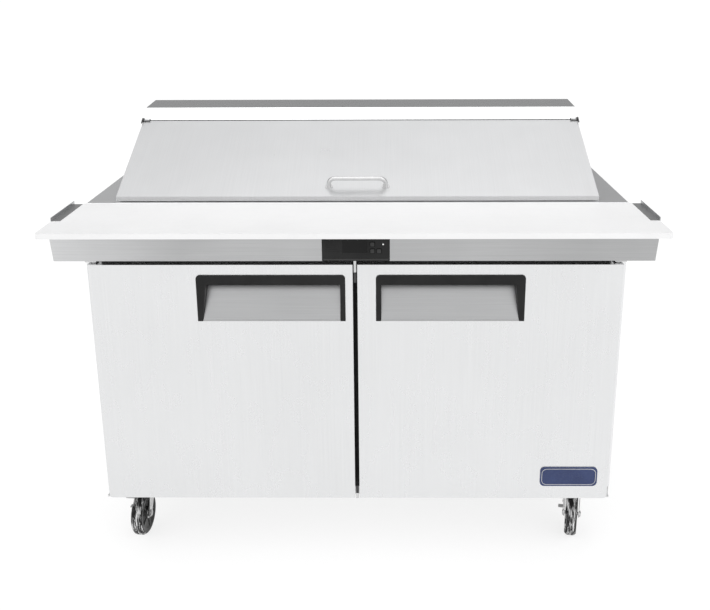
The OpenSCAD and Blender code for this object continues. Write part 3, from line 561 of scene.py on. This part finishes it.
def badge_rim():
    """Thin raised line round the blank badge, a little inside its edge."""
    low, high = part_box("badge")
    bm = bmesh.new()
    inset, corner, steps, width = 0.004, 0.014, 8, 0.0012
    x, z, y = (low.x + inset, high.x - inset), (low.z + inset, high.z - inset), low.y
    ring = []
    for cx, cz, start in ((x[1] - corner, z[1] - corner, 0), (x[0] + corner, z[1] - corner, 90),
                          (x[0] + corner, z[0] + corner, 180), (x[1] - corner, z[0] + corner, 270)):
        for i in range(steps + 1):
            a = math.radians(start + 90 * i / steps)
            ring.append(((cx, cz), (math.cos(a), math.sin(a))))
    section = ((0.0, 0.0004), (0.0, -0.0005), (-width * 0.5, -0.0008), (-width, -0.0005),
               (-width, 0.0004))
    loops = [[bm.verts.new((c[0] + d[0] * (corner + off), y + out, c[1] + d[1] * (corner + off)))
              for off, out in section] for c, d in ring]
    for a, b in zip(loops, loops[1:] + loops[:1]):
        for k in range(len(section)):
            j = (k + 1) % len(section)
            bm.faces.new((a[k], a[j], b[j], b[k]))
    smooth(finish_piece(bm, "badge_rim", "door_right", "zinc"), 50.0)


def panel_screws():
    """Screws round the back panel and along the rear edge of the worktop."""
    bm = bmesh.new()
    low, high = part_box("back_panel")
    for x in [low.x + 0.02 + i * (high.x - low.x - 0.04) / 7 for i in range(8)]:
        for z in (low.z + 0.015, high.z - 0.018):
            add_screw(bm, (x, high.y, z), (0, 1, 0))
    smooth(finish_piece(bm, "back_screws", "cabinet", "zinc"))
    bm = bmesh.new()
    low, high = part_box("worktop")
    for x in (-0.70, -0.35, 0.0, 0.35, 0.70):
        add_screw(bm, (x, high.y - 0.0015, low.z + 0.018), (0, 1, 0), 0.0036, 0.0012)
    smooth(finish_piece(bm, "worktop_screws", "cabinet", "zinc"))


BOLT_X, BOLT_Y = 0.033, 0.027      # from the middle of a caster plate
BOLT_HEAD = [(0, 0), (0.0062, 0), (0.0062, 0.0042), (0.0052, 0.0052), (0, 0.0052)]


def base_bolts():
    """Four bolt heads on each caster plate."""
    bm = bmesh.new()
    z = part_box("caster_plates")[0].z
    for name in CASTERS:
        swivel = JOINTS["caster_%s_swivel" % name]["pos_m"]
        for dx in (-BOLT_X, BOLT_X):
            for dy in (-BOLT_Y, BOLT_Y):
                add_lathe(bm, BOLT_HEAD, facing((swivel[0] + dx, swivel[1] + dy, z), (0, 0, -1)), 6)
    finish_piece(bm, "caster_bolts", "cabinet", "zinc")


# ---------- casters ----------
DISC = [(0.012, -0.004), (0.056, -0.004), (0.0575, -0.001), (0.0560, 0.0006), (0.047, 0.0004),
        (0.043, -0.0022), (0.020, -0.0022), (0.017, 0.0008), (0.012, 0.0012), (0.012, -0.004)]
DISC_OUT = 0.0158                  # from the middle of the wheel
SPOKES = 5
TREAD_RING = [(0.0600, -0.0022), (0.0624, -0.0016), (0.0624, 0.0016), (0.0600, 0.0022),
              (0.0600, -0.0022)]
TREAD_OFFSETS = (-0.0075, 0.0, 0.0075)
RACEWAY = [(0.020, -0.0012), (0.0285, -0.0012), (0.0300, -0.0022), (0.0300, -0.0050),
           (0.0275, -0.0062), (0.020, -0.0062), (0.020, -0.0012)]


def caster_details():
    """Side discs with spokes, tread rings, and the swivel raceway of each caster."""
    for name in CASTERS:
        roll = JOINTS["wheel_%s_roll" % name]
        centre, axis = Vector(roll["pos_m"]), Vector(roll["axis"])
        bm = bmesh.new()
        for way in (-1, 1):
            place = facing(centre + axis * way * DISC_OUT, axis * way)
            add_lathe(bm, DISC, place, 48)
            for k in range(SPOKES):
                spoke = place @ Matrix.Rotation(2 * math.pi * k / SPOKES, 4, "Z")
                add_block(bm, (0.016, -0.0022, -0.003), (0.045, 0.0022, -0.0004), 0.0008, spoke)
        smooth(finish_piece(bm, "wheel_disc_" + name, "wheel_" + name, "hub_plastic"))
        bm = bmesh.new()
        for offset in TREAD_OFFSETS:
            add_lathe(bm, TREAD_RING, facing(centre + axis * offset, axis), 72)
        smooth(finish_piece(bm, "tread_" + name, "wheel_" + name, "tyre"))
        bm = bmesh.new()
        swivel = Vector(JOINTS["caster_%s_swivel" % name]["pos_m"])
        crown = Vector((swivel.x, swivel.y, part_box("fork_" + name)[1].z))
        add_lathe(bm, RACEWAY, facing(crown, (0, 0, 1)), 48)
        smooth(finish_piece(bm, "raceway_" + name, "caster_" + name, "caster_chrome"))


# ---------- hood ----------
END_CAP = [(0.0062, -0.003), (0.0067, -0.003), (0.0067, 0.003), (0.0063, 0.0034), (0.0, 0.0034),
           (0.0, 0.0006), (0.0062, 0.0006), (0.0062, -0.003)]
CLIP_PATH = ((0.003, 0.006), (-0.004, 0.003), (-0.019, -0.005))     # (y, z) from the hinge
LUG_LENGTH = 0.022


def hood_details():
    """Dark bar along the lid's hinge, painted shadow of the gap between hood and lid, with a cap and a clip turned
    down at each end of it; the turned-down clips are painted shadow too.
    """
    y, z = JOINTS["lid_flip"]["pos_m"][1:]
    low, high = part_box("hood_top")
    bm = bmesh.new()
    # Painted shadow: a dark bar where the gap between hood and lid lies in shade.
    add_block(bm, (low.x + 0.004, y - 0.0013, z - 0.0032),
              (high.x - 0.004, y + 0.0013, z + 0.0008), 0.0004)
    for edge, way in ((low.x, -1), (high.x, 1)):
        turn = Matrix.Translation((edge, y, z)) @ Matrix.Rotation(way * math.pi / 2, 4, "Y")
        add_lathe(bm, END_CAP, turn, 32)
        ends = sorted((edge, edge - way * LUG_LENGTH))
        add_block(bm, (ends[0], y - 0.0068, z - 0.0012), (ends[1], y - 0.0061, z + 0.0014), 0.0002)
        clip = sorted((edge + way * 0.0004, edge + way * 0.0034))
        for (y0, z0), (y1, z1) in zip(CLIP_PATH, CLIP_PATH[1:]):
            slope = Matrix.Rotation(math.atan2(z1 - z0, y1 - y0), 4, "X")
            place = Matrix.Translation((0, y + y0, z + z0)) @ slope
            add_block(bm, (clip[0], 0.0, -0.002),
                      (clip[1], math.hypot(y1 - y0, z1 - z0), 0.002), 0.0004, place)
    smooth(finish_piece(bm, "hinge_gap_painted_shadow", "hood", "dark_trim_and_painted_shadow"))


def refrigeration_details():
    """Copper tube from the compressor to the condenser."""
    low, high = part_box("compressor")
    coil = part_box("condenser")[0]
    middle = (low + high) / 2
    above = high.z + 0.020
    across, along = coil.x - 0.030, coil.y + 0.020
    start = (high.x - 0.030, middle.y, high.z - 0.012)
    path = rounded_path([start, (start[0], middle.y, above), (across, middle.y, above),
                         (across, along, above), (across, along, coil.z + 0.060),
                         (coil.x + 0.004, along, coil.z + 0.060)], 0.016)
    bm = bmesh.new()
    add_tube(bm, path, 0.0032)
    smooth(finish_piece(bm, "discharge_tube", "cabinet", "copper_tube"))


# ---------- stage and light ----------
FLOOR_HALF = 120.0
FLOOR_GLOW = 0.78
# (position, level) by the height of a direction, from below to straight up
BEHIND = ((0.0, 0.34), (0.18, 0.30), (0.34, 0.12), (0.56, 0.40), (0.84, 0.68), (0.98, 1.0))
AHEAD = ((0.0, 0.90), (0.7, 0.90), (0.98, 1.0))
SURROUND_STRENGTH = 1.36
LIGHTS = (     # name, place, target, size, watts
    ("overhead", (0.0, 0.1, 4.2), (0.0, 0.1, 0.0), (4.6, 1.6), 22.0),
    ("right_front", (2.6, -2.8, 2.6), (0.0, -0.2, 0.7), (2.2, 2.2), 9.0),
    ("left_front", (-3.0, -2.6, 2.2), (0.0, -0.2, 0.6), (2.2, 2.2), 5.0),
)


def make_stage():
    """Plain pale floor, lit from within a little so that it stays even."""
    bm = bmesh.new()
    bmesh.ops.create_grid(bm, x_segments=4, y_segments=4, size=FLOOR_HALF)
    mesh = bpy.data.meshes.new("floor")
    bm.to_mesh(mesh)
    bm.free()
    material, tree, shader = new_material("floor")
    paint = noise(tree, 0.8, 3.0)
    tree.links.new(tint(tree, paint, grey(0.22), grey(0.25)), shader.inputs["Base Color"])
    shader.inputs["Roughness"].default_value = 0.9
    shader.inputs["Emission Color"].default_value = (1.0, 1.0, 1.0, 1.0)
    shader.inputs["Emission Strength"].default_value = FLOOR_GLOW
    mesh.materials.append(material)
    floor = bpy.data.objects.new("floor", mesh)
    scene.collection.objects.link(floor)


def make_world():
    """Surround that lights the object, greyer low down behind it; the camera sees plain white."""
    world = bpy.data.worlds.new("studio")
    scene.world = world
    world.use_nodes = True
    tree = world.node_tree
    background = next(n for n in tree.nodes if n.type == "BACKGROUND")
    place = tree.nodes.new("ShaderNodeTexCoord")
    split = tree.nodes.new("ShaderNodeSeparateXYZ")
    tree.links.new(place.outputs["Generated"], split.inputs["Vector"])

    def ramp(stops):
        node = tree.nodes.new("ShaderNodeValToRGB")
        elements = node.color_ramp.elements
        while len(elements) < len(stops):
            elements.new(0.5)
        for element, (position, level) in zip(elements, stops):
            element.position = position
            element.color = (level, level, level * 1.005, 1.0)
        tree.links.new(split.outputs["Z"], node.inputs["Fac"])
        return node.outputs["Color"]

    behind, ahead = ramp(BEHIND), ramp(AHEAD)
    side = remap(tree, split.outputs["Y"], 0.0, 1.0, -0.05, 0.25)
    blend = tree.nodes.new("ShaderNodeMix")
    blend.data_type = "RGBA"
    tree.links.new(side, blend.inputs["Factor"])
    tree.links.new(ahead, blend.inputs[6])
    tree.links.new(behind, blend.inputs[7])
    tree.links.new(blend.outputs[2], background.inputs["Color"])
    background.inputs["Strength"].default_value = SURROUND_STRENGTH
    plain_white = add(tree, "ShaderNodeBackground", Strength=1.0)
    plain_white.inputs["Color"].default_value = (1.0, 1.0, 1.0, 1.0)
    ray = tree.nodes.new("ShaderNodeLightPath")
    choose = tree.nodes.new("ShaderNodeMixShader")
    output = next(n for n in tree.nodes if n.type == "OUTPUT_WORLD")
    tree.links.new(ray.outputs["Is Camera Ray"], choose.inputs[0])
    tree.links.new(background.outputs[0], choose.inputs[1])
    tree.links.new(plain_white.outputs[0], choose.inputs[2])
    tree.links.new(choose.outputs[0], output.inputs["Surface"])


def area_light(name, place, target, size, power):
    """A rectangular lamp at place that points at target."""
    data = bpy.data.lights.new(name, "AREA")
    data.shape = "RECTANGLE"
    data.size, data.size_y = size
    data.energy = power
    light = bpy.data.objects.new(name, data)
    scene.collection.objects.link(light)
    aim = (Vector(target) - Vector(place)).to_track_quat("-Z", "Y").to_matrix().to_4x4()
    light.matrix_world = Matrix.Translation(place) @ aim


def make_lights():
    for light in LIGHTS:
        area_light(*light)
    scene.view_settings.view_transform = "Standard"


make_camera()
dress_cad()
controller_details()
centre_fittings()
badge_rim()
panel_screws()
base_bolts()
caster_details()
hood_details()
refrigeration_details()
make_stage()
make_world()
make_lights()
